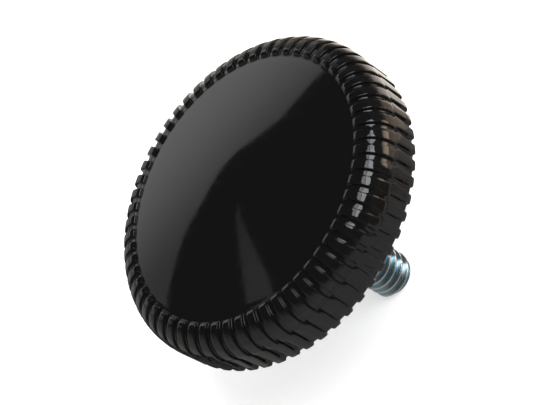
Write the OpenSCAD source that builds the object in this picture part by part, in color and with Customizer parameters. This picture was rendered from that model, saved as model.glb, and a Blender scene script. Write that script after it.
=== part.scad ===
// Knurled knob: a black plastic knob with a ribbed rim, moulded round the head of a
// threaded steel stud. Millimetres. The origin is the centre of the seat on the back,
// where the stud leaves the knob. +Z runs along the axis, out of the face.

/* [Knob] */
// Diameter over the ribs at the parting line
knob_d = 44.45; // [36:0.05:56]
// Radial width of the ribbed rim, from the edge of the face to the side
rim_w = 3.775; // [3:0.025:5]
// Radius of the face's shallow crown
crown_r = 300; // [150:5:600]
// Height of the front half's straight side, from the parting line to the shoulder
front_side = 0.325; // [0.1:0.025:2]
// Height of the back half, from the parting line to the back face
back_h = 4.1; // [3:0.05:6]
// Draft of the back half's side, in degrees
side_draft = 1.6; // [0.5:0.1:4]
// Chamfer round the back edge, between the ribs
back_chamfer = 0.15; // [0.1:0.05:0.3]

/* [Ribs] */
// Number of ribs round the rim
rib_count = 60; // [48:1:60]
// Height of a rib above the grooves on the side
rib_h = 0.6; // [0.4:0.05:0.8]
// Height of a rib's inner end above the face
rib_rise = 0.45; // [0.2:0.05:0.6]
// Width of a rib at the parting line
rib_w = 1.62; // [1.2:0.02:1.8]
// Draft on each flank of a rib, in degrees
rib_draft = 3.5; // [2:0.1:5]
// Width of the bevel that brings a rib's back end down towards the groove
rib_bevel_w = 0.45; // [0.2:0.05:0.6]
// Height of that bevel above the back face
rib_bevel_h = 0.8; // [0.4:0.05:1.2]
// How far the back half's ribs are turned out of step with the front's, in degrees
step_angle = 1; // [0:0.1:2]

/* [Seat] */
// Diameter of the boss that seats on the work
boss_d = 15.9; // [14:0.1:24]
// How far the boss stands out of the back face
boss_h = 1.6; // [1:0.1:4]
// Chamfer round the boss
boss_chamfer = 0.3; // [0.1:0.05:0.6]
// Width of the relief in the boss round the stud
relief_w = 0.5; // [0.3:0.05:1]
// Depth of that relief
relief_h = 0.5; // [0.3:0.05:1]

/* [Stud] */
// Outside diameter of the thread
thread_d = 6.35; // [4:0.05:7]
// Free length of the stud, from the seat to the tip
thread_l = 22.2; // [12:0.1:40]
// Length of the chamfer on the tip
tip_chamfer = 0.8; // [0.4:0.1:1.2]
// Diameter of the plain neck under the head
neck_d = 5.5; // [4:0.05:6]
// Depth of the head's underside below the seat's face
neck_l = 2.6; // [1.5:0.1:3]
// Width of the hexagonal head across its flats
head_af = 11.1; // [9:0.1:13]
// Thickness of the head
head_h = 4; // [3:0.1:4.5]
// Gap between the plastic and the moulded-in steel
insert_gap = 0.05; // [0.02:0.01:0.1]

/* [Hidden] */
$fa = 2;
$fs = 0.2;

knob_r = knob_d / 2;
face_r = knob_r - rim_w;
back_z = boss_h;
part_z = back_z + back_h;
// the ribs' crests and the groove floors turn over the shoulder in arcs of their own
crest_r = rim_w;
floor_r = crest_r - rib_h;
front_h = front_side + crest_r;
floor_side = front_h - rib_rise - floor_r;
// the crown meets the top of the groove floors' arc
crown_z = part_z + floor_side + floor_r - sqrt(crown_r * crown_r - face_r * face_r);
crown_steps = 8;
back_r = knob_r - back_h * tan(side_draft);
tip_r = thread_d / 2 - tip_chamfer * tan(40);
head_z = neck_l;
// blades and cuts reach this far past the band that trims them
blade_reach = 1;

// Height of the crowned face at a distance from the axis.
function crown_height(r) = crown_z + sqrt(crown_r * crown_r - r * r);

// A straight side with a quarter disc on it that turns over the shoulder.
module shoulder_section(r, side) {
    translate([face_r, part_z + side])
        intersection() {
            circle(r = r);
            square(r);
        }
    translate([face_r, part_z]) square([r, side]);
}

// Half section of the front, from the axis to the groove floors.
module front_core_section() {
    crown = [for (i = [0 : crown_steps]) let (r = face_r * i / crown_steps) [r, crown_height(r)]];
    polygon(concat([[face_r, part_z], [0, part_z]], crown));
    shoulder_section(floor_r, floor_side);
}

// Half section of the back, from the axis out to a radius at the parting line, with a
// bevel on its back edge.
module back_section(outer_r, bevel_w, bevel_h) {
    shrink = knob_r - back_r;
    polygon([
        [0, part_z],
        [outer_r, part_z],
        [outer_r - shrink, back_z + bevel_h],
        [outer_r - shrink - bevel_w, back_z],
        [0, back_z]
    ]);
}

// Half section of the band that the back ribs fill.
module back_rib_section() {
    difference() {
        back_section(knob_r, rib_bevel_w, rib_bevel_h);
        translate([0, back_z - blade_reach]) square([face_r, back_h + 2 * blade_reach]);
    }
}

// One radial blade that stands on the parting line and narrows with the draft.
module rib_blade(height) {
    top_w = rib_w - 2 * height * tan(rib_draft);
    translate([face_r - blade_reach, 0, 0])
        rotate([90, 0, 90])
            linear_extrude(height = crest_r + 2 * blade_reach)
                polygon([[-rib_w / 2, 0], [rib_w / 2, 0], [top_w / 2, height], [-top_w / 2, height]]);
}

// The ring of blades for one half of the mould.
module rib_blades(height) {
    for (i = [0 : rib_count - 1])
        rotate(i * 360 / rib_count)
            rib_blade(height);
}

// Ribs of the front half, over the shoulder and down to the parting line.
module front_ribs() {
    intersection() {
        rotate_extrude() shoulder_section(crest_r, front_side);
        translate([0, 0, part_z]) rib_blades(front_h);
    }
}

// Ribs of the back half, from the parting line to the back edge.
module back_ribs() {
    intersection() {
        rotate_extrude() back_rib_section();
        translate([0, 0, part_z]) rotate(step_angle) mirror([0, 0, 1]) rib_blades(back_h);
    }
}

// The boss that seats on the work.
module seat_boss() {
    cylinder(h = boss_chamfer, d1 = boss_d - 2 * boss_chamfer, d2 = boss_d);
    translate([0, 0, boss_chamfer]) cylinder(h = boss_h - boss_chamfer + back_chamfer, d = boss_d);
}

// Neck and hexagonal head, grown by a gap for the pocket that holds them.
module stud_anchor(gap) {
    translate([0, 0, -gap]) cylinder(h = head_z + 2 * gap, d = neck_d + 2 * gap);
    translate([0, 0, head_z - gap])
        cylinder(h = head_h + 2 * gap, d = (head_af + 2 * gap) / cos(30), $fn = 6);
}

// The pocket that the plastic forms round the steel, with the relief at its mouth.
module stud_pocket() {
    stud_anchor(insert_gap);
    translate([0, 0, -relief_h]) cylinder(h = 2 * relief_h, d = thread_d + 2 * relief_w);
}

// The plastic moulding.
module knob_body() {
    color([0.05, 0.05, 0.055])
    difference() {
        union() {
            rotate_extrude() front_core_section();
            rotate_extrude() back_section(knob_r - rib_h, back_chamfer, back_chamfer);
            front_ribs();
            back_ribs();
            seat_boss();
        }
        stud_pocket();
    }
}

// The steel stud: free length below the seat, neck and head inside the knob.
module threaded_stud() {
    color([0.62, 0.68, 0.74])
    union() {
        translate([0, 0, -thread_l]) cylinder(h = tip_chamfer, r1 = tip_r, d2 = thread_d);
        translate([0, 0, tip_chamfer - thread_l]) cylinder(h = thread_l - tip_chamfer, d = thread_d);
        stud_anchor(0);
    }
}

knob_body();
threaded_stud();
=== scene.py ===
"""Dressed model of a knurled knob: a black moulding on a threaded steel stud.

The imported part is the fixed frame. Sizes in the classes are millimetres, in the
part's own frame, and become metres where a mesh or a lamp is made.
"""

from __future__ import annotations

import logging
import math
from dataclasses import dataclass
from enum import Enum
from typing import Any, Callable, Iterable, Sequence

import bmesh
import bpy
from mathutils import Matrix, Vector

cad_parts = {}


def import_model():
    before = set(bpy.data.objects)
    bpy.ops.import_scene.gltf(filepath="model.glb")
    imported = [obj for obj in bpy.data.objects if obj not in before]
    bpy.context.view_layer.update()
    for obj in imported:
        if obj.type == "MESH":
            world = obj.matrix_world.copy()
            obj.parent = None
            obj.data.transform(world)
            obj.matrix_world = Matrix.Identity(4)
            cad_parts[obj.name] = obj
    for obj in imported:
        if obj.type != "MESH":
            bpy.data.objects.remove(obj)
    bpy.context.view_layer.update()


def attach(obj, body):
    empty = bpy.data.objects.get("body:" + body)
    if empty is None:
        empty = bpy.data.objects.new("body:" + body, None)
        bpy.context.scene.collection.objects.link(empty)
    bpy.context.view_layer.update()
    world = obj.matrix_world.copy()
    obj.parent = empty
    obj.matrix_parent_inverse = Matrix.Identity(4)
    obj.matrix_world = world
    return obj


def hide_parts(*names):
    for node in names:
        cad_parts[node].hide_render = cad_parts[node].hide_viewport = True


LOG = logging.getLogger("knurled_knob")
MM = 0.001
AXIS_Z = (0.0, 0.0, 1.0)
ORIGIN = (0.0, 0.0, 0.0)
# points nearer to each other than this, in metres, become one
MERGE = 1e-6

Triple = tuple[float, float, float]
Spot = tuple[float, float]


class Join(Enum):
    """How a Boolean modifier combines two solids."""

    UNION = "UNION"
    INTERSECT = "INTERSECT"


@dataclass(frozen=True)
class RingPoint:
    """One point of a ring: its distance from the axis, its angle and its height.

    Attributes:
        radius: Distance from the axis, in millimetres.
        angle: Angle from the middle of the sector, in radians.
        height: Height in the part's frame, in millimetres.
    """

    radius: float
    angle: float
    height: float

    def place(self) -> Triple:
        """Turn the point into a place.

        Returns:
            The place on the +Y side, in metres.
        """
        return (
            self.radius * math.cos(self.angle) * MM,
            self.radius * math.sin(self.angle) * MM,
            self.height * MM,
        )


class Bench:
    """One mesh object in edit mode, and the operators that shape it."""

    def __init__(self, obj: bpy.types.Object) -> None:
        """Take a mesh object to the bench, for the operators to act on."""
        self.obj = obj

    @staticmethod
    def clear() -> None:
        """Leave edit mode and deselect every object."""
        if bpy.context.mode != "OBJECT":
            bpy.ops.object.mode_set(mode="OBJECT")
        bpy.ops.object.select_all(action="DESELECT")

    @classmethod
    def adopt(cls, name: str) -> "Bench":
        """Name the primitive that was just added and open it in edit mode.

        Args:
            name: Name for the object and its mesh.

        Returns:
            A bench with the object, all of it selected.
        """
        obj = bpy.context.object
        obj.name = name
        obj.data.name = name
        bpy.ops.object.transform_apply(location=True, rotation=True, scale=True)
        bpy.ops.object.mode_set(mode="EDIT")
        bpy.ops.mesh.select_mode(type="VERT")
        bpy.ops.mesh.select_all(action="SELECT")
        return cls(obj)

    @classmethod
    def point(cls, name: str, at: Triple) -> "Bench":
        """Start a mesh as one point, from a plane that is merged at its centre.

        Args:
            name: Name for the object.
            at: Place of the point, in metres.

        Returns:
            A bench with the point selected.
        """
        cls.clear()
        bpy.ops.mesh.primitive_plane_add(size=MM)
        bench = cls.adopt(name)
        bpy.ops.mesh.merge(type="CENTER")
        bpy.ops.transform.translate(value=at)
        return bench

    @classmethod
    def disc(cls, name: str, radius: float, height: float, corners: int) -> "Bench":
        """Start a mesh as a filled circle round the axis.

        Args:
            name: Name for the object.
            radius: Radius, in millimetres.
            height: Height in the part's frame, in millimetres.
            corners: Number of corners, the first of them on +X.

        Returns:
            A bench with the disc selected.
        """
        cls.clear()
        bpy.ops.mesh.primitive_circle_add(
            vertices=corners,
            radius=radius * MM,
            fill_type="NGON",
            location=(0, 0, height * MM),
            rotation=(0, 0, math.pi / 2),
        )
        return cls.adopt(name)

    def cells(self) -> bmesh.types.BMesh:
        """Open the edit mesh and put its indices in order.

        Returns:
            The edit mesh.
        """
        mesh = bmesh.from_edit_mesh(self.obj.data)
        mesh.verts.ensure_lookup_table()
        mesh.verts.index_update()
        return mesh

    def select(self, test: Callable[[bmesh.types.BMVert], bool]) -> None:
        """Select the points that pass a test, and no others.

        Args:
            test: Takes a point and says whether it is wanted.
        """
        mesh = self.cells()
        for vert in mesh.verts:
            vert.select = test(vert)
        mesh.select_mode = {"VERT"}
        mesh.select_flush_mode()
        bmesh.update_edit_mesh(self.obj.data)

    def pick(self, test: Callable[[Vector], bool]) -> None:
        """Select the points whose place, in metres, passes a test."""
        self.select(lambda vert: test(vert.co))

    def pick_numbers(self, numbers: Iterable[int]) -> None:
        """Select the points with these numbers."""
        wanted = set(numbers)
        self.select(lambda vert: vert.index in wanted)

    def draw(self, points: Sequence[Triple]) -> None:
        """Extrude the selected point from place to place, as a line.

        Args:
            points: The places in metres. The first is where the point is now.
        """
        for here, there in zip(points, points[1:]):
            step = Vector(there) - Vector(here)
            bpy.ops.mesh.extrude_region_move(TRANSFORM_OT_translate={"value": step})

    def raise_rim(self, lift: float, widen: float) -> None:
        """Extrude the selected face along the axis and scale it there.

        Args:
            lift: How far up, in millimetres.
            widen: Factor on the face's width.
        """
        bpy.ops.mesh.extrude_region_move(
            TRANSFORM_OT_translate={"value": (0, 0, lift * MM)}
        )
        bpy.ops.transform.resize(value=(widen, widen, 1), center_override=ORIGIN)

    def close(self) -> bpy.types.Object:
        """Turn the faces outwards and leave edit mode.

        Returns:
            The object.
        """
        bpy.ops.mesh.select_all(action="SELECT")
        bpy.ops.mesh.normals_make_consistent(inside=False)
        bpy.ops.object.mode_set(mode="OBJECT")
        return self.obj


class SectorLoft(Bench):
    """A sector that grows ring by ring, alike on both sides of the XZ plane."""

    def ring(self) -> list[int]:
        """Give the selected ring's point numbers, from -Y to +Y."""
        chosen = [v for v in self.cells().verts if v.select]
        return [v.index for v in sorted(chosen, key=lambda v: v.co.y)]

    def shape(self, half: Sequence[RingPoint]) -> None:
        """Pull each pair of the selected ring's points to its place.

        Args:
            half: Places from the middle of the ring to its +Y end.
        """
        ring = self.ring()
        middle = len(ring) // 2
        for step, spot in enumerate(half):
            pair = (ring[middle - step], ring[middle + step])
            here = self.cells().verts[pair[1]].co.copy()
            there = spot.place()
            widen = there[1] / here.y if step else 1.0
            self.pick_numbers(pair)
            bpy.ops.transform.resize(
                value=(there[0] / here.x, widen, 1), center_override=ORIGIN
            )
            bpy.ops.transform.translate(value=(0, 0, there[2] - here.z))
        self.pick_numbers(ring)

    def grow(self, half: Sequence[RingPoint]) -> None:
        """Extrude the selected ring and shape the new one."""
        bpy.ops.mesh.extrude_region_move()
        self.shape(half)

    def thin_out(self) -> None:
        """Merge the points between the ring's middle and each of its ends."""
        ring = self.ring()
        middle = len(ring) // 2
        height = self.cells().verts[ring[0]].co.z
        reach = max(self.cells().verts[n].co.xy.length for n in ring)
        self.pick_numbers(ring[1:middle] + ring[middle + 1 : -1])
        bpy.ops.mesh.merge(type="COLLAPSE")
        slack = 0.02 * MM
        self.pick(
            lambda co: abs(co.z - height) < slack / 10 and co.xy.length < reach + slack
        )


class Graph:
    """The node tree of a material or world, and the one way nodes are added to it."""

    def __init__(self, owner: bpy.types.Material | bpy.types.World) -> None:
        """Empty the owner's tree.

        Args:
            owner: The material or world.
        """
        owner.use_nodes = True
        self.tree = owner.node_tree
        self.tree.nodes.clear()

    def add(
        self, kind: str, sockets: dict[str | int, Any] | None = None, **settings: str
    ) -> bpy.types.Node:
        """Add one node.

        Args:
            kind: The node's type.
            sockets: Values or links for its input sockets.
            **settings: The node's own settings, set before its sockets.

        Returns:
            The node.
        """
        node = self.tree.nodes.new(kind)
        for name, value in settings.items():
            setattr(node, name, value)
        for name, value in (sockets or {}).items():
            if isinstance(value, Signal):
                value = value.socket
            if isinstance(value, bpy.types.NodeSocket):
                self.tree.links.new(value, node.inputs[name])
            else:
                node.inputs[name].default_value = value
        return node

    def signal(self, node: bpy.types.Node, output: str | int = 0) -> "Signal":
        """Wrap one of a node's outputs for expressions."""
        return Signal(self, node.outputs[output])

    def noise(
        self,
        place: bpy.types.NodeSocket,
        scale: float,
        detail: float,
        roughness: float = 0.5,
    ) -> "Signal":
        """Add a noise texture.

        Args:
            place: Its coordinates.
            scale: Its scale, in waves per metre.
            detail: Its number of finer layers.
            roughness: How strong the finer layers are.

        Returns:
            The noise, a value round 0.5.
        """
        node = self.add(
            "ShaderNodeTexNoise",
            {"Vector": place, "Scale": scale, "Detail": detail, "Roughness": roughness},
        )
        return self.signal(node, "Fac")

    def blend(
        self, share: "Signal", first: Triple, second: Triple
    ) -> bpy.types.NodeSocket:
        """Mix two colours.

        Args:
            share: Share of the second colour.
            first: The first colour.
            second: The second colour.

        Returns:
            The socket with the mix.
        """
        node = self.add(
            "ShaderNodeMix",
            {0: share, 6: (*first, 1), 7: (*second, 1)},
            data_type="RGBA",
            blend_type="MIX",
        )
        return node.outputs[2]


class Signal:
    """A value socket that takes part in Python expressions."""

    def __init__(self, graph: Graph, socket: bpy.types.NodeSocket) -> None:
        """Wrap an output socket of the graph."""
        self.graph = graph
        self.socket = socket

    def _math(self, kind: str, first: Any, second: Any) -> "Signal":
        """Add a Math node on two values and wrap its result."""
        node = self.graph.add("ShaderNodeMath", {0: first, 1: second}, operation=kind)
        return Signal(self.graph, node.outputs[0])

    def __add__(self, other: Any) -> "Signal":
        """Add a number or signal."""
        return self._math("ADD", self, other)

    __radd__ = __add__

    def __sub__(self, other: Any) -> "Signal":
        """Subtract a number or signal."""
        return self._math("SUBTRACT", self, other)

    def __rsub__(self, other: Any) -> "Signal":
        """Subtract this from a number or signal."""
        return self._math("SUBTRACT", other, self)

    def __mul__(self, other: Any) -> "Signal":
        """Multiply by a number or signal."""
        return self._math("MULTIPLY", self, other)

    __rmul__ = __mul__

    def above(self, low: float, high: float) -> "Signal":
        """Find where the value is high.

        Args:
            low: Value up to which the result is 0.
            high: Value from which it is 1.

        Returns:
            The result, with a smooth rise between.
        """
        node = self.graph.add(
            "ShaderNodeMapRange",
            {"Value": self, "From Min": low, "From Max": high},
            interpolation_type="SMOOTHSTEP",
        )
        return Signal(self.graph, node.outputs[0])

    def root(self) -> "Signal":
        """Give the square root."""
        return self._math("POWER", self, 0.5)

    def most(self, other: Any) -> "Signal":
        """Give the larger of this and another value."""
        return self._math("MAXIMUM", self, other)


@dataclass(frozen=True)
class BlackPlastic:
    """Glossy black moulded plastic with faint flow and a little dust.

    Attributes:
        colour: The pigment's colour.
        dust: Colour of the fine dust on it.
        roughness: Roughness of the clean surface.
        haze: Roughness that hazy places add.
        dull: Roughness that a dust speck adds.
        ior: Index of refraction.
        flow: Strength of the flow's bump.
    """

    colour: Triple = (0.0036, 0.0034, 0.0034)
    dust: Triple = (0.1, 0.095, 0.09)
    roughness: float = 0.03
    haze: float = 0.03
    dull: float = 0.25
    ior: float = 1.58
    flow: float = 0.012

    def specks(self, graph: Graph, place: bpy.types.NodeSocket) -> Signal:
        """Find the dust specks, which lie in sparse groups.

        Args:
            graph: The material's tree.
            place: The Object coordinates.

        Returns:
            A signal, 1 on the specks and 0 elsewhere.
        """
        cells = graph.add(
            "ShaderNodeTexVoronoi",
            {"Vector": place, "Scale": 260.0, "Randomness": 1.0},
            feature="F1",
        )
        speck = 1 - graph.signal(cells, "Distance").above(0.02, 0.045)
        return speck * graph.noise(place, 160.0, 1.0).above(0.57, 0.61)

    def material(self) -> bpy.types.Material:
        """Build the material.

        Returns:
            The material, with its pattern on Object coordinates.
        """
        mat = bpy.data.materials.new("black_plastic")
        graph = Graph(mat)
        place = graph.add("ShaderNodeTexCoord").outputs["Object"]
        speck = self.specks(graph, place)
        hazy = graph.noise(place, 700.0, 4.0, 0.6).above(0.35, 0.75)
        bump = graph.add(
            "ShaderNodeBump",
            {
                "Strength": self.flow,
                "Distance": 0.4 * MM,
                "Height": graph.noise(place, 90.0, 2.0),
            },
        )
        shader = graph.add(
            "ShaderNodeBsdfPrincipled",
            {
                "Base Color": graph.blend(speck, self.colour, self.dust),
                "Roughness": self.roughness + self.haze * hazy + self.dull * speck,
                "IOR": self.ior,
                "Normal": bump.outputs["Normal"],
            },
        )
        graph.add("ShaderNodeOutputMaterial", {"Surface": shader.outputs[0]})
        return mat


@dataclass(frozen=True)
class ZincPlate:
    """Bright zinc on rolled steel, with a bluish passivation.

    Attributes:
        blue: Colour of the passivated flanks.
        pale: Colour of the crests and where the film is thin.
        crest: Radii between which the flanks turn pale, in millimetres.
        thin: Share of the pale colour where the film is thin.
        metallic: Metallic share of the surface.
        roughness: Mean roughness.
        grain: How much the grain changes the roughness.
        relief: Strength of the grain's bump.
    """

    blue: Triple = (0.2, 0.4, 0.52)
    pale: Triple = (0.74, 0.72, 0.67)
    crest: Spot = (2.9, 3.15)
    thin: float = 0.35
    metallic: float = 0.92
    roughness: float = 0.2
    grain: float = 0.12
    relief: float = 0.04

    def material(self) -> bpy.types.Material:
        """Build the material.

        Returns:
            The material, with its pattern on Object coordinates.
        """
        mat = bpy.data.materials.new("zinc_steel")
        graph = Graph(mat)
        place = graph.add("ShaderNodeTexCoord").outputs["Object"]
        film = graph.noise(place, 420.0, 3.0, 0.55)
        grain = graph.noise(place, 3000.0, 3.0, 0.6)
        axis = graph.add("ShaderNodeSeparateXYZ", {0: place})
        x, y = graph.signal(axis, 0), graph.signal(axis, 1)
        # paler on the thread's crests, by distance from the axis
        crest_band = (x * x + y * y).root().above(*(radius * MM for radius in self.crest))
        pale = (film.above(0.3, 0.75) * self.thin).most(crest_band)
        bump = graph.add(
            "ShaderNodeBump",
            {"Strength": self.relief, "Distance": 0.01 * MM, "Height": grain},
        )
        shader = graph.add(
            "ShaderNodeBsdfPrincipled",
            {
                "Base Color": graph.blend(pale, self.blue, self.pale),
                "Metallic": self.metallic,
                "Roughness": self.roughness + self.grain * (grain - 0.5),
                "Normal": bump.outputs["Normal"],
            },
        )
        graph.add("ShaderNodeOutputMaterial", {"Surface": shader.outputs[0]})
        return mat


@dataclass
class KnobMoulding:
    """The black moulding: crowned face, ribbed rim, flat back and seating boss.

    The sizes are those of the part's source, but the ribs' back ends are squarer and
    the grooves shallower at the parting line. One sector of the rim, a rib with half a
    groove on each side, is lofted ring by ring and turned round the axis.
    """

    # the rim over its ribs, the face, the face's plain margin and its crown
    knob_r: float = 22.225
    face_r: float = 18.45
    face_edge: float = 0.45
    crown_r: float = 300.0
    # the parting line, and where the crests' and the groove floors' arcs start
    part_z: float = 5.7
    crest_z: float = 6.025
    floor_z: float = 6.175
    shoulder_steps: int = 14
    # the ribs, their draft in degrees, and their inner ends with the extra rounding
    rib_count: int = 60
    rib_h: float = 0.6
    rib_w: float = 1.62
    rib_draft: float = 3.5
    rib_end: float = 0.75
    end_ease: float = 0.5
    # height below which a rib's edges get finer, and their least share of rounding
    fine_h: float = 0.45
    fine_least: float = 0.3
    # the back half's turn, the radius outside which it turns, and its draft, in degrees
    step_angle: float = 1.0
    step_r: float = 20.7
    side_draft: float = 1.6
    # the back face, the radius inside which it is plain, and its edge's rounding
    back_z: float = 1.6
    back_r: float = 20.85
    back_edge: float = 0.15
    # the rounding on the ribs' back ends, its curve's power, and the edges' extra ease
    bevel_w: float = 0.2
    bevel_h: float = 0.4
    bevel_curve: float = 1.4
    bevel_ease: float = 0.9
    # the seam, how much shallower the grooves are there, and the turn where that ends
    seam_start: float = 0.2
    seam_depth: float = 0.02
    seam_rise: float = 0.18
    seam_turn: float = 0.8
    # weight of large faces in the shading
    even_weight: int = 50

    # inwards and down from a rib's corner, round its edge
    RIB_EDGE = ((0.1, 0.0), (0.05, 0.013), (0.013, 0.05), (0.0, 0.1))
    # the flank and the groove's floor: shares of the half gap and of the rib's height
    RIB_FOOT = ((0.03, 0.3), (0.1, 0.11), (0.23, 0.03), (0.5, 0.006))
    # way along a rib's rounded inner end, and the shares of its width and height left
    RIB_END = (
        (0.167, 1.0, 0.985),
        (0.333, 1.0, 0.945),
        (0.5, 1.0, 0.885),
        (0.667, 0.99, 0.8),
        (0.833, 0.98, 0.67),
        (0.933, 0.965, 0.545),
        (0.978, 0.95, 0.42),
        (1.0, 0.94, 0.28),
        (1.017, 0.93, 0.09),
        (1.067, 0.93, 0.015),
        (1.156, 0.93, 0.0),
    )
    # rings of the seam: height above the parting line and share of the seam's depth
    SEAM = ((0.06, 0.4), (0.0, 1.0), (-0.06, 0.4), (-0.2, 0.0))
    # the back's step over the seam: height below which points turn, and by what share
    STEP = ((0.13, 0.3), (0.03, 0.2), (-0.03, 0.2), (-0.13, 0.3))
    # radii of the rings on the face, from its margin to the axis
    FACE_ROWS = (17.0, 15.5, 13.5, 11.0, 8.5, 6.0, 4.0, 2.2, 1.0, 0.0)
    # heights of the rings down the back half's side
    SIDE_ROWS = (4.7, 3.8, 3.0)
    # heights above the back face of the rings round the ribs' back ends
    BACK_ROWS = (0.27, 0.16, 0.08, 0.03, 0.0)
    # radius and height of the rings over the back, the boss, the relief and the pocket
    BACK_OUTLINE = (
        (20.4, 1.6), (16.0, 1.6), (12.0, 1.6), (8.35, 1.6), (8.1, 1.54), (7.97, 1.35),
        (7.95, 0.32), (7.87, 0.1), (7.65, 0.0), (5.6, 0.0), (3.82, 0.0), (3.72, 0.03),
        (3.68, 0.13), (3.675, 0.5), (2.8, 0.5), (2.8, 2.55), (6.5, 2.55), (6.5, 6.65),
        (3.0, 6.65), (0.0, 6.65),
    )

    @property
    def half_pitch(self) -> float:
        """Half the angle from rib to rib, in radians."""
        return math.pi / self.rib_count

    @property
    def crest_r(self) -> float:
        """Radius of the shoulder at the ribs' crests."""
        return self.knob_r - self.face_r

    @property
    def floor_r(self) -> float:
        """Radius of the shoulder at the groove floors."""
        return self.crest_r - self.rib_h

    def face_height(self, radius: float) -> float:
        """Give the crowned face's height at a distance from the axis."""
        edge = self.floor_z + self.floor_r
        return edge + (self.face_r**2 - radius**2) / (2 * self.crown_r)

    def half_width(self, height: float) -> float:
        """Give a rib's half width at a height, narrower away from the parting line."""
        away = abs(height - self.part_z)
        return self.rib_w / 2 - away * math.tan(math.radians(self.rib_draft))

    def ring(
        self, foot: Spot, top: Spot, width: float = 1.0, ease: float = 1.0
    ) -> list[RingPoint]:
        """Give half a ring of the ribbed rim.

        Args:
            foot: Radius and height on the groove's floor.
            top: Radius and height on the rib's crest.
            width: Share of the rib's width that is left there.
            ease: Factor on the rounding of its edges.

        Returns:
            The points from the rib's middle to the middle of the groove.
        """
        tall = math.dist(foot, top)
        least = self.fine_least
        fine = ease * (least + (1 - least) * min(1.0, tall / self.fine_h))
        unit = ease / max(tall, self.fine_h)
        half = width * self.half_width((foot[1] + top[1]) / 2)
        gap = foot[0] * math.sin(self.half_pitch) - half
        flat = half - self.RIB_EDGE[0][0] * fine
        shape = [(0.0, 1.0), (flat / 2, 1.0)]
        shape += [(half - i * fine, 1 - down * unit) for i, down in self.RIB_EDGE]
        shape += [(half + out * gap, up) for out, up in self.RIB_FOOT]
        points = []
        for across, share in shape:
            radius, height = (f + share * (t - f) for f, t in zip(foot, top))
            points.append(RingPoint(radius, math.asin(across / radius), height))
        return points + [RingPoint(foot[0], self.half_pitch, foot[1])]

    def plain(self, radius: float, height: float) -> list[RingPoint]:
        """Give half a ring of a plain turned surface, in three points."""
        turn = self.half_pitch / 2
        return [RingPoint(radius, turn * i, height) for i in range(3)]

    def side(
        self, height: float, inset: float = 0.0, fall: float = 0.0, ease: float = 1.0
    ) -> list[RingPoint]:
        """Give half a ring on the side of the rim.

        Args:
            height: Its height.
            inset: How far the groove's floor is pulled in towards the axis.
            fall: How far the rib's crest is pulled in.
            ease: Factor on the rounding of the rib's edges.

        Returns:
            The ring's points.
        """
        below = max(0.0, self.part_z - height)
        crest = self.knob_r - below * math.tan(math.radians(self.side_draft))
        lift = self.seam_rise * (1 - below / (self.part_z - self.back_z))
        foot = (crest - self.rib_h + lift - inset, height)
        return self.ring(foot, (crest - fall, height), ease=ease)

    def shoulder(self, turn: float) -> list[RingPoint]:
        """Give half a ring on the shoulder.

        Args:
            turn: How far it is turned up from the side, in radians.

        Returns:
            The ring's points.
        """
        across, up = math.cos(turn), math.sin(turn)
        rise = self.seam_rise * max(0.0, 1 - turn / self.seam_turn)
        floor_r = self.floor_r + rise
        return self.ring(
            (self.face_r + floor_r * across, self.floor_z + floor_r * up),
            (self.face_r + self.crest_r * across, self.crest_z + self.crest_r * up),
        )

    def inner_end(self, way: float, width: float, left: float) -> list[RingPoint]:
        """Give half a ring on the ribs' inner ends, where they meet the face.

        Args:
            way: Share of the way along the rounded end.
            width: Share of the rib's width left there.
            left: Share of its height left there.

        Returns:
            The ring's points.
        """
        out = self.rib_end * (1 - way)
        radius = self.face_r + out
        arc = self.floor_z + math.sqrt(self.floor_r**2 - out**2)
        foot = min(self.face_height(radius), arc)
        crest = self.crest_z + math.sqrt(self.crest_r**2 - out**2)
        top = foot + left * (crest - foot)
        ease = 1 + self.end_ease * min(1.0, way)
        return self.ring((radius, foot), (radius, top), width, ease)

    def flatten(self, loft: SectorLoft, radius: float, height: float) -> None:
        """Grow a ring with no rib left in it and thin it out.

        Args:
            loft: The sector.
            radius: The ring's radius.
            height: The ring's height.
        """
        loft.grow(self.ring((radius, height), (radius, height)))
        loft.thin_out()
        loft.shape(self.plain(radius, height))

    def loft_front(self, loft: SectorLoft) -> None:
        """Grow the sector from the parting line over the shoulder to the axis.

        Args:
            loft: The sector.
        """
        last = math.acos(self.rib_end / self.floor_r)
        for step in range(self.shoulder_steps + 1):
            loft.grow(self.shoulder(last * step / self.shoulder_steps))
        for way, width, left in self.RIB_END:
            loft.grow(self.inner_end(way, width, left))
        edge = self.face_r - self.face_edge
        self.flatten(loft, edge, self.face_height(edge))
        for radius in self.FACE_ROWS:
            loft.grow(self.plain(radius, self.face_height(radius)))

    def loft_back(self, loft: SectorLoft) -> None:
        """Grow the sector from the parting line over the back to the pocket.

        Args:
            loft: The sector.
        """
        for above, share in self.SEAM:
            depth = self.seam_depth * share
            loft.grow(self.side(self.part_z + above, depth, depth))
        for height in (*self.SIDE_ROWS, self.back_z + self.bevel_h):
            loft.grow(self.side(height))
        for above in self.BACK_ROWS:
            low = 1 - above / self.bevel_h
            fall = self.bevel_w * low**self.bevel_curve
            near = max(0.0, 1 - above / self.back_edge)
            inset = self.back_edge * (1 - math.sqrt(1 - near**2))
            ease = 1 + self.bevel_ease * low
            loft.grow(self.side(self.back_z + above, inset, fall, ease))
        self.flatten(loft, self.back_r, self.back_z)
        for radius, height in self.BACK_OUTLINE:
            loft.grow(self.plain(radius, height))

    def sector(self) -> SectorLoft:
        """Draw one rib's section at the parting line and grow the sector from it.

        Returns:
            A bench with the open sector.
        """
        start = self.part_z + self.seam_start
        half = [spot.place() for spot in self.side(start)]
        section = [(x, -y, z) for x, y, z in reversed(half[1:])] + half
        loft = SectorLoft(Bench.point("knob_moulding", section[0]).obj)
        loft.draw(section)
        loft.pick(lambda co: True)
        self.loft_front(loft)
        loft.pick(lambda co: abs(co.z - start * MM) < MERGE / 10)
        self.loft_back(loft)
        return loft

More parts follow.
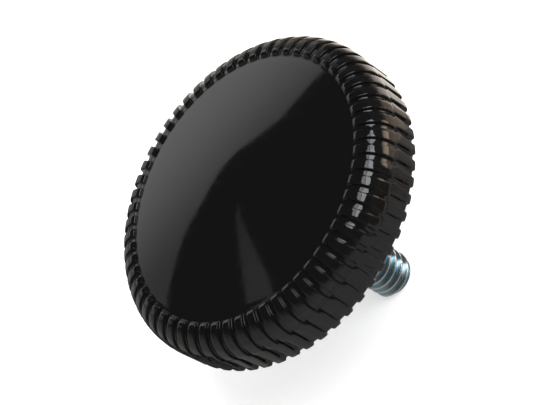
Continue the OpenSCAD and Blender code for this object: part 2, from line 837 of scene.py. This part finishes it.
    def step_halves(self, loft: SectorLoft) -> None:
        """Turn the back half's ribs out of step with the front's.

        Args:
            loft: The sector.
        """
        for above, share in self.STEP:
            top, rim = (self.part_z + above) * MM, self.step_r * MM
            loft.pick(lambda co: co.z < top and co.xy.length > rim)
            bpy.ops.transform.rotate(
                value=-math.radians(self.step_angle) * share,
                orient_axis="Z",
                center_override=ORIGIN,
            )

    def build(self) -> bpy.types.Object:
        """Model the moulding.

        Returns:
            The finished object, without a material.
        """
        loft = self.sector()
        self.step_halves(loft)
        bpy.ops.mesh.select_all(action="SELECT")
        turns = self.rib_count - 1
        bpy.ops.mesh.spin(
            steps=turns,
            dupli=True,
            angle=2 * math.pi * turns / self.rib_count,
            center=ORIGIN,
            axis=AXIS_Z,
        )
        bpy.ops.mesh.select_all(action="SELECT")
        bpy.ops.mesh.remove_doubles(threshold=MERGE)
        obj = loft.close()
        bpy.ops.object.shade_smooth()
        weighted = obj.modifiers.new("even_normals", "WEIGHTED_NORMAL")
        weighted.mode = "FACE_AREA"
        weighted.weight = self.even_weight
        bpy.ops.object.modifier_apply(modifier=weighted.name)
        return obj

    def dress(self, obj: bpy.types.Object, finish: BlackPlastic) -> None:
        """Give the moulding its finish and tie it to the part.

        Args:
            obj: The moulding.
            finish: Its finish.
        """
        obj.data.materials.clear()
        obj.data.materials.append(finish.material())
        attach(obj, "root")
        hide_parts("knob_body")


@dataclass
class ThreadedStud:
    """The zinc-plated stud: rolled thread, plain neck and moulded-in hexagonal head."""

    # the thread, its first crest above the tip, and the turns that are cut off there
    thread_r: float = 3.175
    pitch: float = 1.27
    length: float = 22.2
    first_crest: float = 1.11
    run_in: int = 3
    turns: int = 23
    turn_steps: int = 48
    # the tip, and the bar that trims the thread
    tip_r: float = 2.5
    tip_chamfer: float = 0.8
    blank_room: float = 0.125
    blank_corners: int = 96
    # the neck, and how far it runs into the thread and into the head
    neck_r: float = 2.75
    neck_l: float = 2.6
    neck_corners: int = 64
    neck_roots: Spot = (0.6, 0.5)
    # the head across its flats, its thickness and its bevel
    head_af: float = 11.1
    head_h: float = 4.0
    head_edge: float = 0.2
    # angle from which an edge is shaded sharp, in degrees
    sharp_angle: float = 40.0

    # radius and height of one turn's outline, from the middle of a root to the next
    TURN = (
        (2.396, -0.635),
        (2.412, -0.54),
        (2.47, -0.46),
        (3.125, -0.115),
        (3.165, -0.075),
        (3.175, -0.03),
        (3.175, 0.03),
        (3.165, 0.075),
        (3.125, 0.115),
        (2.47, 0.46),
        (2.412, 0.54),
        (2.396, 0.635),
    )

    def thread(self) -> bpy.types.Object:
        """Turn one outline into a right-hand thread longer than the stud.

        Returns:
            The closed thread.
        """
        tip_crest = -self.length + self.first_crest + self.pitch / 4
        start = tip_crest - self.run_in * self.pitch
        outline = [(r * MM, 0.0, (start + z) * MM) for r, z in self.TURN]
        bench = Bench.point("threaded_stud_piece", outline[0])
        bench.draw(outline)
        bpy.ops.object.mode_set(mode="OBJECT")
        screw = bench.obj.modifiers.new("turns", "SCREW")
        screw.axis = "Z"
        screw.angle = 2 * math.pi
        screw.screw_offset = self.pitch * MM
        screw.iterations = self.turns
        screw.steps = screw.render_steps = self.turn_steps
        screw.use_merge_vertices = True
        screw.merge_threshold = MERGE
        bpy.ops.object.modifier_apply(modifier=screw.name)
        bpy.ops.object.mode_set(mode="EDIT")
        bpy.ops.mesh.select_all(action="SELECT")
        bpy.ops.mesh.remove_doubles(threshold=MERGE)
        bpy.ops.mesh.select_all(action="SELECT")
        bpy.ops.mesh.fill_holes(sides=0)
        return bench.close()

    def blank(self) -> bpy.types.Object:
        """Make the chamfered bar that trims the thread's ends.

        Returns:
            The bar, wider than the thread.
        """
        wide = self.thread_r + self.blank_room
        rise = (wide - self.tip_r) / (self.thread_r - self.tip_r) * self.tip_chamfer
        bench = Bench.disc("stud_blank", self.tip_r, -self.length, self.blank_corners)
        bench.raise_rim(rise, wide / self.tip_r)
        bench.raise_rim(self.length - rise, 1.0)
        return bench.close()

    def neck(self) -> bpy.types.Object:
        """Make the plain neck, from inside the thread to the head.

        Returns:
            The neck.
        """
        below, above = self.neck_roots
        bench = Bench.disc("stud_neck", self.neck_r, -below, self.neck_corners)
        bench.raise_rim(below + self.neck_l + above, 1.0)
        return bench.close()

    def head(self) -> bpy.types.Object:
        """Make the hexagonal head with its edges eased.

        Returns:
            The head.
        """
        corner = self.head_af / 2 / math.cos(math.pi / 6)
        bench = Bench.disc("stud_head", corner, self.neck_l, 6)
        bench.raise_rim(self.head_h, 1.0)
        bpy.ops.mesh.select_all(action="SELECT")
        bpy.ops.mesh.bevel(offset=self.head_edge * MM, segments=2, affect="EDGES")
        return bench.close()

    @staticmethod
    def combine(obj: bpy.types.Object, other: bpy.types.Object, how: Join) -> None:
        """Combine an object with another, which is used up.

        Args:
            obj: The object that stays.
            other: The object that shapes it.
            how: The way they are combined.
        """
        Bench.clear()
        bpy.context.view_layer.objects.active = obj
        obj.select_set(True)
        cut = obj.modifiers.new("combine", "BOOLEAN")
        cut.object = other
        cut.operation = how.value
        cut.solver = "EXACT"
        bpy.ops.object.modifier_apply(modifier=cut.name)
        bpy.data.objects.remove(other)

    def build(self) -> bpy.types.Object:
        """Model the stud.

        Returns:
            The finished object, without a material.
        """
        stud = self.thread()
        self.combine(stud, self.blank(), Join.INTERSECT)
        self.combine(stud, self.neck(), Join.UNION)
        self.combine(stud, self.head(), Join.UNION)
        Bench.clear()
        bpy.context.view_layer.objects.active = stud
        stud.select_set(True)
        bpy.ops.object.shade_smooth_by_angle(angle=math.radians(self.sharp_angle))
        return stud

    def dress(self, obj: bpy.types.Object, finish: ZincPlate) -> None:
        """Give the stud its finish and tie it to the part.

        Args:
            obj: The stud.
            finish: Its finish.
        """
        obj.data.materials.clear()
        obj.data.materials.append(finish.material())
        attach(obj, "root")
        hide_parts("threaded_stud")


@dataclass(frozen=True)
class CardLight:
    """Even glow of a softbox, card or flag.

    Attributes:
        colour: Its colour.
        strength: Its radiance, where 1 is white.
    """

    colour: Triple = (1.0, 1.0, 1.0)
    strength: float = 1.0

    def glow(self, graph: Graph) -> dict[str, Any]:
        """Give the values for the sockets of its Emission node."""
        return {"Color": (*self.colour, 1), "Strength": self.strength}

    def material(self, name: str) -> bpy.types.Material:
        """Build the material.

        Args:
            name: Name of the material.

        Returns:
            The material.
        """
        mat = bpy.data.materials.new(name)
        graph = Graph(mat)
        shader = graph.add("ShaderNodeEmission", self.glow(graph))
        graph.add("ShaderNodeOutputMaterial", {"Surface": shader.outputs[0]})
        return mat


@dataclass(frozen=True)
class FadingCard(CardLight):
    """Glow that changes along a direction, from one strength to another.

    Attributes:
        other: Its radiance at the far end of the change.
        span: How far along it the change starts and ends, in millimetres.
        way: Direction of the change.
    """

    other: float = 1.0
    span: Spot = (-100.0, 100.0)
    way: Triple = (1.0, 0.0, 0.0)

    def glow(self, graph: Graph) -> dict[str, Any]:
        """Mix the glow along its change.

        Args:
            graph: The material's tree.

        Returns:
            The values for the sockets of its Emission node.
        """
        place = graph.add("ShaderNodeTexCoord").outputs["Object"]
        ends = {0: place, 1: self.way}
        along = graph.add("ShaderNodeVectorMath", ends, operation="DOT_PRODUCT")
        share = graph.signal(along, "Value").above(*(end * MM for end in self.span))
        start, stop = (
            tuple(c * strength for c in self.colour)
            for strength in (self.strength, self.other)
        )
        return {"Color": graph.blend(share, start, stop)}


@dataclass
class Studio:
    """Pale floor, soft light, reflecting cards and the camera."""

    # the floor at the stud's tip, its reflectance, and the glow that makes it white
    floor_z: float = -22.2
    floor_size: float = 6000.0
    floor_grey: float = 0.8
    floor_lift: float = 0.4
    # the surroundings as a light
    sky_light: float = 0.75
    # heights of the ceiling, of the walls, and of the cards over the far wall
    ceiling_z: float = 500.0
    wall_top: float = 900.0
    wall_split: float = 430.0
    # gaps under the mats, and between one and another
    mat_gap: Spot = (0.2, 0.1)
    # the camera before its turn round the knob, and its angles in degrees
    camera_at: Triple = (0.12, -242.1, 213.5)
    camera_elevation: float = 40.89
    camera_roll: float = 59.67
    camera_turn: float = 0.54
    lens: float = 166.67
    # direction and distance of the window
    window_way: Triple = (0.42, -0.45, 0.78)
    window_far: float = 480.0
    # the key lamp, with its power in watts and its width in metres
    lamp_at: Triple = (252.0, -270.0, 468.0)
    lamp_power: float = 6.0
    lamp_size: float = 0.5

    @staticmethod
    def card(name: str, corners: Sequence[Triple], light: CardLight) -> None:
        """Draw a flat card that only the gloss shows.

        Args:
            name: Name of the card.
            corners: Its corners in order, in millimetres.
            light: Its glow.
        """
        places = [tuple(c * MM for c in corner) for corner in corners]
        bench = Bench.point(name, places[0])
        bench.draw(places)
        bpy.ops.mesh.select_all(action="SELECT")
        bpy.ops.mesh.edge_face_add()
        bpy.ops.object.mode_set(mode="OBJECT")
        card = bench.obj
        card.data.materials.append(light.material(name))
        card.visible_camera = False
        card.visible_diffuse = False
        card.visible_transmission = False
        card.visible_shadow = False

    def aim(self, angles: Sequence[Spot]) -> list[Triple]:
        """Find where lines from the knob meet the window.

        Args:
            angles: Each line's azimuth and elevation, in degrees.

        Returns:
            The places, in millimetres.
        """
        ahead = Vector(self.window_way).normalized()
        places = []
        for azimuth, elevation in angles:
            turn, rise = math.radians(azimuth), math.radians(elevation)
            level = math.cos(rise)
            way = Vector(
                (level * math.cos(turn), level * math.sin(turn), math.sin(rise))
            )
            places.append(tuple(way * (self.window_far / way.dot(ahead))))
        return places

    def floor(self) -> None:
        """Lay the pale floor, lifted to white for the camera and for reflections."""
        Bench.clear()
        bpy.ops.mesh.primitive_plane_add(size=self.floor_size * MM)
        bench = Bench.adopt("floor")
        bpy.ops.transform.translate(value=(0, 0, self.floor_z * MM))
        bpy.ops.object.mode_set(mode="OBJECT")
        mat = bpy.data.materials.new("floor_white")
        graph = Graph(mat)
        seen = self.white_rays(graph)
        grey = (self.floor_grey,) * 3
        pale = graph.add("ShaderNodeBsdfDiffuse", {"Color": (*grey, 1)})
        lift = graph.add("ShaderNodeEmission", {"Strength": seen * self.floor_lift})
        shaders = {0: pale.outputs[0], 1: lift.outputs[0]}
        both = graph.add("ShaderNodeAddShader", shaders)
        graph.add("ShaderNodeOutputMaterial", {"Surface": both.outputs[0]})
        bench.obj.data.materials.append(mat)

    @staticmethod
    def white_rays(graph: Graph) -> Signal:
        """Tell the rays that show the background from those that light.

        Args:
            graph: The tree that asks.

        Returns:
            A signal, 1 for the rays that show it and 0 for the others.
        """
        path = graph.add("ShaderNodeLightPath")
        return (
            graph.signal(path, "Is Camera Ray")
            .most(graph.signal(path, "Is Glossy Ray"))
            .most(graph.signal(path, "Is Transmission Ray"))
        )

    def world(self) -> None:
        """Make the surroundings: white to look at, softer as a light."""
        world = bpy.data.worlds.new("studio")
        bpy.context.scene.world = world
        graph = Graph(world)
        lift = (1 - self.sky_light) * self.white_rays(graph)
        sky = graph.add(
            "ShaderNodeBackground",
            {"Color": (1, 1, 1, 1), "Strength": self.sky_light + lift},
        )
        graph.add("ShaderNodeOutputWorld", {"Surface": sky.outputs[0]})

    def ceiling(self) -> None:
        """Hang the dark ceiling with the wavy far edge, and its one lit patch."""
        z = self.ceiling_z
        edge = (
            (700, 420), (200, 540), (120, 564), (60, 583), (40, 604), (20, 627),
            (0, 638), (-30, 641), (-70, 638), (-110, 614), (-200, 560), (-400, 490),
        )
        near = ((-400, -1500), (700, -1500))
        self.card(
            "ceiling",
            [(x, y, z) for x, y in edge + near],
            CardLight((1.0, 0.98, 0.97), 0.012),
        )
        patch = (
            (-18, 561), (-30, 551), (-50, 514), (-63, 491), (-82, 457),
            (-66, 420), (-52, 454), (-40, 497), (-27, 543),
        )
        self.card(
            "ceiling_patch",
            [(x, y, z - 1) for x, y in patch],
            FadingCard((1.0, 0.98, 0.96), 0.28, 0.17, (430.0, 560.0), (0.0, 1.0, 0.0)),
        )

    def walls(self) -> None:
        """Stand the walls round the knob, the lit card behind it and a tan one near."""
        low, split, high = self.floor_z, self.wall_split, self.wall_top
        grey = (1.0, 0.99, 0.97)
        left = FadingCard(grey, 0.36, 0.03, (150.0, 700.0), AXIS_Z)
        far = FadingCard(grey, 0.58, 0.33, (0.0, 400.0), AXIS_Z)
        near = FadingCard(grey, 0.26, 0.02, (-150.0, 400.0), (1.0, 0.0, 1.0))
        behind = FadingCard(
            (1.0, 0.98, 0.98), 1.3, 0.34, (520.0, 790.0), (-0.49, 0.0, 1.0)
        )
        tan = FadingCard((1.0, 0.8, 0.58), 3.4, 1.2, (0.0, 24.0), AXIS_Z)
        for name, start, stop, bottom, top, light in (
            ("left_wall", (-560, -1500), (-560, 900), low, high, left),
            ("near_wall", (-560, -1500), (700, -1500), low, high, near),
            ("right_wall", (700, -1500), (700, 900), low, high, CardLight(grey, 0.05)),
            ("far_wall", (-560, 899), (700, 899), low, split, far),
            ("far_card", (-560, 900), (250, 900), split, high, behind),
            ("far_corner", (250, 900), (700, 900), split, high, CardLight(grey, 0.2)),
            ("tan_card", (101, -84), (122, -33), low, 24, tan),
        ):
            corners = [(*start, bottom), (*stop, bottom), (*stop, top), (*start, top)]
            self.card(name, corners, light)

    def mats(self) -> None:
        """Lay the mats that the sides of the knob show, one of them a painted shadow of
        the knob on the table.
        """
        gap, lift = self.mat_gap
        low = self.floor_z + gap
        grey, tan = (1.0, 0.98, 0.96), (1.0, 0.82, 0.64)
        near = FadingCard(grey, 0.45, 0.33, (-150.0, 0.0))
        warm = FadingCard((1.0, 0.91, 0.8), 1.9, 0.25, (42.0, 170.0), (0.64, 0.77, 0.0))
        brown = FadingCard((1.0, 0.87, 0.8), 0.26, 0.43, (-15.0, 5.0), (0.5, 0.87, 0.0))
        wide = ((-560, -1500), (700, -1500), (700, 0), (0, 0), (-20, 900), (-560, 900))
        far = ((0, 0), (400, 900), (-20, 900))
        right = ((0, 0), (700, 0), (700, 900), (400, 900))
        strip = ((18, -52), (46, -42), (700, -540), (390, -1450))
        beside = ((48, -42), (170, -140), (170, 0), (40, 0))
        under = ((25, -32), (33, -42), (48, -42), (40, 0), (36, -6))
        # painted shadow: a dark mat where the knob's own shadow would lie on the table
        # beside it, for the gloss to show
        painted_shadow = ((-24, 0), (-80, 18), (-70, 60), (-30, 75), (-12, 24))
        for name, height, outline, light in (
            ("near_mat", low, wide, near),
            ("far_mat", low, far, CardLight(grey, 0.65)),
            ("warm_mat", low, right, warm),
            ("dark_mat", low + lift, strip, CardLight(tan, 0.05)),
            ("tan_mat", low + lift, beside, CardLight(tan, 0.85)),
            ("brown_mat", low + lift, under, brown),
            ("painted_shadow_mat", low + lift, painted_shadow, CardLight(grey, 0.05)),
        ):
            self.card(name, [(x, y, height) for x, y in outline], light)

    def window(self) -> None:
        """Hang the window that the gloss shows: three panes, each in two rows."""
        inner = ((-2, 50), (-15, 61), (-38, 66), (-68, 63))
        outer = ((-3, 36), (-20, 35), (-46, 36), (-70, 44))
        rows = ((0.0, 0.53, 1.0), (0.58, 1.0, 0.6))
        for pane, strength in enumerate((3.6, 4.8, 4.4)):
            for row, (start, stop, share) in enumerate(rows):
                corners = [
                    tuple(o + at * (i - o) for o, i in zip(outer[side], inner[side]))
                    for side, at in (
                        (pane, start),
                        (pane + 1, start),
                        (pane + 1, stop),
                        (pane, stop),
                    )
                ]
                self.card(
                    f"window_{pane + 1}_{row + 1}",
                    self.aim(corners),
                    CardLight((0.94, 0.98, 1.0), strength * share),
                )

    def lamp(self) -> None:
        """Hang the soft key lamp over the window's side."""
        light = bpy.data.lights.new("key", "AREA")
        light.energy = self.lamp_power
        light.shape = "DISK"
        light.size = self.lamp_size
        lamp = bpy.data.objects.new("key", light)
        bpy.context.scene.collection.objects.link(lamp)
        lamp.location = Vector(self.lamp_at) * MM
        lamp.rotation_euler = (-lamp.location).to_track_quat("-Z", "Y").to_euler()
        lamp.visible_glossy = False
        lamp.visible_camera = False

    def camera(self) -> None:
        """Set up the camera at the photograph's angle."""
        data = bpy.data.cameras.new("camera")
        data.lens = self.lens
        data.sensor_width = 36.0
        data.clip_start = 0.01
        data.clip_end = 50.0
        camera = bpy.data.objects.new("camera", data)
        bpy.context.scene.collection.objects.link(camera)
        tilt = Matrix.Rotation(math.radians(90 - self.camera_elevation), 4, "X")
        roll = Matrix.Rotation(math.radians(-self.camera_roll), 4, "Z")
        turn = Matrix.Rotation(math.radians(self.camera_turn), 4, "Z")
        place = Matrix.Translation(Vector(self.camera_at) * MM)
        camera.matrix_world = turn @ place @ tilt @ roll
        bpy.context.scene.camera = camera

    def build(self) -> None:
        """Set up the whole studio."""
        self.floor()
        self.world()
        self.ceiling()
        self.walls()
        self.mats()
        self.window()
        self.lamp()
        self.camera()
        bpy.context.scene.view_settings.view_transform = "Standard"


def main() -> None:
    """Load the part, model and dress its pieces, and set up the studio."""
    logging.basicConfig(level=logging.INFO, format="%(message)s")
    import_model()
    moulding = KnobMoulding()
    body = moulding.build()
    moulding.dress(body, BlackPlastic())
    LOG.info("%s: %d faces", body.name, len(body.data.polygons))
    steel = ThreadedStud()
    stud = steel.build()
    steel.dress(stud, ZincPlate())
    LOG.info("%s: %d faces", stud.name, len(stud.data.polygons))
    Studio().build()


if __name__ == "__main__":
    main()
